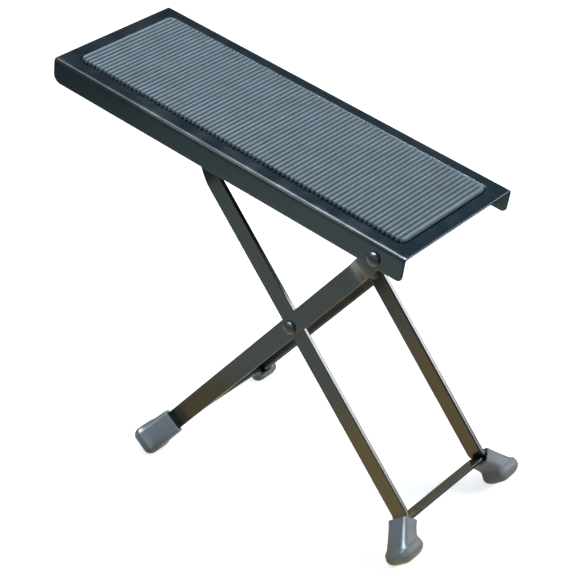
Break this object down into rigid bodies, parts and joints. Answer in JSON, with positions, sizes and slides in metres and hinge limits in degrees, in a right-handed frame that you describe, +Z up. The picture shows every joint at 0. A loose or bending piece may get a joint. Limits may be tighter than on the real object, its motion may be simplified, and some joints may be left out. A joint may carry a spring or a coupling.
{
  "type": "folding guitar footrest",
  "caption": "Folding footrest: a pressed steel plate with a ribbed mat, flanged down its long sides, on two crossed strap frames with rubber boots; it folds flat.",
  "frame": {"origin": "on the floor, under the middle of the object's box", "axes": "+Z up; X runs along the plate, from its raised end at -X to its low pivot end at +X; Y across the plate, the near side of the picture at -Y"},
  "size_m": [0.2638, 0.1254, 0.2519],
  "materials": {
    "plate_paint": "satin black",
    "frame_paint": "satin dark grey",
    "mat_rubber": "ribbed, matte",
    "boot_rubber": "moulded, satin",
    "rivet_steel": "gloss dark",
    "washer_steel": "painted with the frame"
  },
  "bodies": {
    "outer_frame": {"outer_leg_near": "frame_paint", "outer_leg_far": "frame_paint", "outer_crossbar": "frame_paint", "outer_boot_near": "boot_rubber", "outer_boot_far": "boot_rubber", "cross_rivet_near": "rivet_steel", "cross_rivet_far": "rivet_steel", "pivot_washer_near": "washer_steel", "pivot_washer_far": "washer_steel"},
    "platform": {"top_plate": "plate_paint", "ribbed_mat": "mat_rubber", "notch_rail_near": "frame_paint", "notch_rail_far": "frame_paint", "pivot_rivet_near": "rivet_steel", "pivot_rivet_far": "rivet_steel"},
    "inner_frame": {"inner_leg_near": "frame_paint", "inner_leg_far": "frame_paint", "inner_crossbar": "frame_paint", "inner_boot_near": "boot_rubber", "inner_boot_far": "boot_rubber", "ratchet_rod": "rivet_steel", "cross_washer_near": "washer_steel", "cross_washer_far": "washer_steel"}
  },
  "joints": [
    {"name": "platform_fold", "type": "hinge", "parent": "outer_frame", "child": "platform", "pos_m": [0.1042, 0, 0.19402], "axis": [0, -1, 0], "range_deg": [0, 55]},
    {"name": "frame_cross", "type": "hinge", "parent": "outer_frame", "child": "inner_frame", "pos_m": [0.03752, 0, 0.12385], "axis": [0, -1, 0], "range_deg": [0, 95]}
  ],
  "couplings": [
    {"joint": "frame_cross", "follows": "platform_fold", "ratio": 1.7241}
  ]
}
